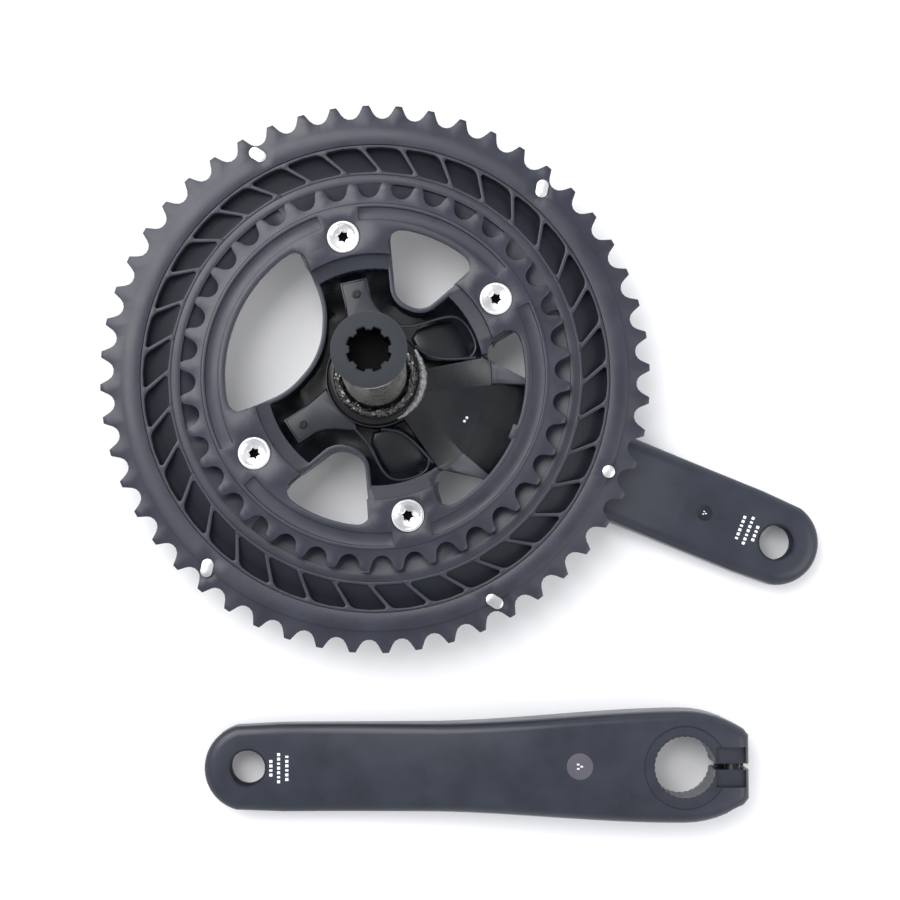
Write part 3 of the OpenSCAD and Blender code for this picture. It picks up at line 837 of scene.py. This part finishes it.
class CRANKSET_OT_chainrings(bpy.types.Operator):
    """Both chainrings, the ring of ribs and the sloping floor between the ribs"""

    bl_idname = "crankset.chainrings"
    bl_label = "Chainrings"

    def execute(self, context):
        edge = context.scene.crankset_sizes.ring_edge
        for node, material, slot in (
            ("big_chainring", ring_finish(), "ring_anodised"),
            ("small_chainring", ring_finish(), "ring_anodised"),
            ("rib_ring", resin_finish(), "rib_resin"),
        ):
            ring = skin_of(node, node + "_finished")
            break_edges(ring, edge)
            finish_piece(ring, material, "drive_side", slot, node)
        low, high = (corner.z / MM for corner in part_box("rib_ring"))
        floor = turned("rib_floor", [
            (RIB_IN_R - 0.4, low + 0.05), (RIB_OUT_R + 0.4, low + 0.05), (RIB_OUT_R + 0.4, low + 0.3),
            (RIB_OUT_R - 3.2, low + 0.7), (RIB_IN_R + 1.5, high - 1.3), (RIB_IN_R - 0.4, high - 0.9)], 144)
        # The floor between the ribs gets a darker copy of the resin as painted shade
        finish_piece(floor, floor_shade_and_label_finish(), "drive_side", "rib_resin")
        return {"FINISHED"}


class CRANKSET_OT_axle(bpy.types.Operator):
    """Axle, its collar and seal, the grease round its foot with a painted highlight on one side, and the
    preload cap
    """

    bl_idname = "crankset.axle"
    bl_label = "Axle"

    def execute(self, context):
        low, high = (corner.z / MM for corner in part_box("axle"))
        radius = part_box("axle")[1].x / MM
        axle = turned("axle_tube", [
            (AXLE_BORE_R, low), (radius - 0.4, low), (radius, low + 0.4), (radius, high - 11),
            (radius - 0.35, high - 10.6), (radius - 0.35, high - 9.4), (radius, high - 9),
            (radius, high - 0.8), (radius - 0.6, high), (AXLE_BORE_R, high)], 120)
        finish_piece(axle, steel_finish(), "drive_side", "axle_steel", "axle")
        for node, material, slot in (("axle_collar", grease_finish(), "axle_steel"),
                                     ("axle_seal", seal_finish(), "seal_rubber")):
            part = skin_of(node, node + "_finished")
            break_edges(part, context.scene.crankset_sizes.small_edge)
            finish_piece(part, material, "drive_side", slot, node)
        self.cap(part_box("axle")[1].z / MM)
        self.grease(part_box("axle_collar")[1].z / MM)
        return {"FINISHED"}

    def cap(self, seat):
        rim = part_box("preload_cap")[1].x / MM
        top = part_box("preload_cap")[1].z / MM
        cap = turned("preload_cap_moulding", [
            (0, seat - 9), (7.4, seat - 9), (7.45, top - 1.4), (7.55, top - 0.45), (7.95, top),
            (rim - 1.0, top), (rim - 0.3, top - 0.3), (rim, top - 0.8), (rim, seat + 0.02),
            (9.1, seat + 0.02), (9.1, seat - 10), (0, seat - 10)], 128)
        scallop(cap, 7.0, 8.1, 8, 0.42, 0.86)
        # Painted shade inside the cap's socket
        paint_shade(cap, 7.6, top - 0.5)
        finish_piece(cap, cap_finish(), "preload_cap", "cap_resin", "preload_cap")

    def grease(self, seat):
        deselect()
        bpy.ops.mesh.primitive_torus_add(
            major_radius=14.2 * MM, minor_radius=1.7 * MM, major_segments=160, minor_segments=28,
            location=(0, 0, (seat - 0.3) * MM))
        ring = bpy.context.object
        ring.name = ring.data.name = "grease_ring"
        place(ring, 0, ring.location.copy())
        roughen(ring, 0.9, 1.5)
        finish_piece(ring, grease_finish(), "drive_side", "seal_rubber")
        # Grease smear on one side of the axle foot, coloured pale as a painted highlight
        arc = range(-62, 40, 12)
        points = [(*polar(a, 18.4), seat - 4.4) for a in arc]
        radii = [0.2 + 1.0 * math.sin(math.pi * (i + 0.4) / len(points)) for i in range(len(points))]
        smear_highlight = rope("grease_smear_highlight", points, 1.4, radii)
        add_modifier(smear_highlight, "SUBSURF", levels=2, render_levels=2)
        roughen(smear_highlight, 1.4, 0.9)
        finish_piece(smear_highlight, grease_and_highlight_finish(), "drive_side", "seal_rubber")


class CRANKSET_OT_fasteners(bpy.types.Operator):
    """Ring bolts, pins, pinch bolts, the stopper plate and both labels"""

    bl_idname = "crankset.fasteners"
    bl_label = "Fasteners"

    def execute(self, context):
        edge = context.scene.crankset_sizes.small_edge
        for n in range(1, 5):
            self.ring_bolt(f"ring_bolt_{n}")
        groups = [(f"shift_pin_{n}", "drive_side", "pin_steel", bolt_finish()) for n in range(1, 5)]
        groups += [("chain_drop_pin", "drive_side", "pin_steel", bolt_finish())]
        # The pinch bolts get near-black steel as painted shade of the slit
        groups += [(f"pinch_bolt_{n}", f"pinch_bolt_{n}", "bolt_steel", pinch_bolt_shade_finish())
                   for n in (1, 2)]
        groups += [("stopper_plate", "stopper_plate", "cap_resin", cap_finish()),
                   ("right_label", "drive_side", "label", floor_shade_and_label_finish()),
                   ("left_label", "left_arm", "label", label_finish())]
        for node, body, slot, material in groups:
            part = skin_of(node, node + "_finished")
            break_edges(part, min(edge, 0.1 * MM) if "label" in node else edge)
            finish_piece(part, material, body, slot, node)
        for node, body, size, angle in (("right_label", "drive_side", 1.0, ARM_ANGLE),
                                        ("left_label", "left_arm", 1.5, 0)):
            low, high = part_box(node)
            middle = (low + high) / 2
            for k, (x, y) in enumerate(((-0.45, 0.55), (0.45, 0.0), (-0.45, -0.55))):
                bar = box_cutter((x * size - 0.32 * size, (y - 0.2) * size, high.z / MM - 0.01),
                                 (x * size + 0.32 * size, (y + 0.2) * size, high.z / MM + 0.03))
                finish_piece(place(bar, angle, (middle.x, middle.y, 0)), ink_finish(), body, "label")
                bar.name = bar.data.name = f"{node}_mark_{k + 1}"
        return {"FINISHED"}

    def ring_bolt(self, node):
        low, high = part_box(node)
        middle = (low + high) / 2
        top, foot = high.z / MM, low.z / MM
        head = (high.x - low.x) / 2 / MM
        bolt = turned(node + "_turned", [
            (0, top - 4.2), (2.1, top - 4.2), (2.2, top - 0.95), (2.5, top - 0.72), (3.9, top - 0.66),
            (4.3, top - 0.5), (5.0, top - 0.12), (5.4, top), (5.8, top - 0.06), (head, top - 0.4),
            (head, top - 2.0), (4.0, top - 2.0), (4.0, foot + 0.3), (3.7, foot), (0, foot)], 96)
        scallop(bolt, 2.0, 2.3, 6, 0.55, 0.78)
        scallop(bolt, 2.0, 2.3, 6, 0.85, 0.9)
        # Painted shade inside the bolt's socket
        paint_shade(bolt, 2.2, top - 0.9)
        place(bolt, 0.3, (middle.x, middle.y, 0))
        finish_piece(bolt, bolt_finish(), "drive_side", "bolt_steel", node)


class CRANKSET_OT_stage(bpy.types.Operator):
    """Pale bench, soft studio light and the camera"""

    bl_idname = "crankset.stage"
    bl_label = "Stage"

    def execute(self, context):
        self.bench()
        self.lights()
        self.camera()
        return {"FINISHED"}

    def bench(self):
        deselect()
        bpy.ops.mesh.primitive_plane_add(size=8.0, location=(0, 0, BENCH_Z - 0.05 * MM))
        bench = bpy.context.object
        bench.name = "bench"
        material, tree, shader = new_material("Pale bench")
        place = tree.nodes.new("ShaderNodeTexCoord").outputs["Object"]
        tint = tree.nodes.new("ShaderNodeMix")
        tint.data_type = "RGBA"
        tint.inputs["A"].default_value = (0.90, 0.90, 0.915, 1)
        tint.inputs["B"].default_value = (0.93, 0.93, 0.94, 1)
        tree.links.new(noise_node(tree, place, 6.0), tint.inputs["Factor"])
        tree.links.new(tint.outputs["Result"], shader.inputs["Base Color"])
        shader.inputs["Roughness"].default_value = 0.9
        bench.data.materials.append(material)

    def lights(self):
        world = bpy.data.worlds.new("Studio")
        bpy.context.scene.world = world
        world.use_nodes = True
        background = world.node_tree.nodes["Background"]
        background.inputs["Color"].default_value = (0.97, 0.98, 1.0, 1)
        sky = world.node_tree
        way = sky.nodes.new("ShaderNodeTexCoord").outputs["Generated"]
        axes = sky.nodes.new("ShaderNodeSeparateXYZ")
        sky.links.new(way, axes.inputs[0])
        strength = map_range(sky, axes.outputs["Z"], 0.15, 1.0, 1.35, 0.55)
        sky.links.new(strength, background.inputs["Strength"])
        for name, place, size, power in (
            ("key_softbox", (-0.5, 0.5, 1.3), 1.0, 16.0),
            ("fill_softbox", (0.9, -0.4, 1.1), 0.9, 5.0),
        ):
            data = bpy.data.lights.new(name, "AREA")
            data.size = size
            data.energy = power
            lamp = bpy.data.objects.new(name, data)
            lamp.location = place
            lamp.rotation_euler = (-Vector(place)).to_track_quat("-Z", "Y").to_euler()
            bpy.context.scene.collection.objects.link(lamp)
        bpy.context.scene.view_settings.view_transform = "Standard"

    def camera(self):
        data = bpy.data.cameras.new("camera")
        data.sensor_width = 36.0
        data.lens = 75.8
        data.clip_start = 0.05
        data.clip_end = 20.0
        camera = bpy.data.objects.new("camera", data)
        camera.location = (0.01546, -0.06389, 0.75616)
        camera.rotation_euler = tuple(math.radians(a) for a in (2.792, -1.02, -0.254))
        bpy.context.scene.collection.objects.link(camera)
        bpy.context.scene.camera = camera


class CRANKSET_PT_panel(bpy.types.Panel):
    """Buttons that build each group of pieces"""

    bl_idname = "CRANKSET_PT_panel"
    bl_label = "Road Crankset"
    bl_space_type = "VIEW_3D"
    bl_region_type = "UI"
    bl_category = "Crankset"

    def draw(self, context):
        for name in ("arm", "ring", "resin", "steel", "bolt"):
            self.layout.prop(context.scene.crankset_finish, name)
        for name in ("ring_edge", "arm_edge", "small_edge"):
            self.layout.prop(context.scene.crankset_sizes, name)
        for operator in OPERATORS:
            self.layout.operator(operator.bl_idname)


OPERATORS = (
    CRANKSET_OT_stage,
    CRANKSET_OT_right_arm,
    CRANKSET_OT_left_arm,
    CRANKSET_OT_chainrings,
    CRANKSET_OT_axle,
    CRANKSET_OT_fasteners,
)
CLASSES = (CranksetFinish, CranksetSizes, *OPERATORS, CRANKSET_PT_panel)


def register():
    for cls in CLASSES:
        bpy.utils.register_class(cls)
    bpy.types.Scene.crankset_finish = bpy.props.PointerProperty(type=CranksetFinish)
    bpy.types.Scene.crankset_sizes = bpy.props.PointerProperty(type=CranksetSizes)


def unregister():
    del bpy.types.Scene.crankset_sizes
    del bpy.types.Scene.crankset_finish
    for cls in reversed(CLASSES):
        bpy.utils.unregister_class(cls)


def main():
    register()
    for operator in OPERATORS:
        group, name = operator.bl_idname.split(".")
        getattr(getattr(bpy.ops, group), name)()


if __name__ == "__main__":
    main()
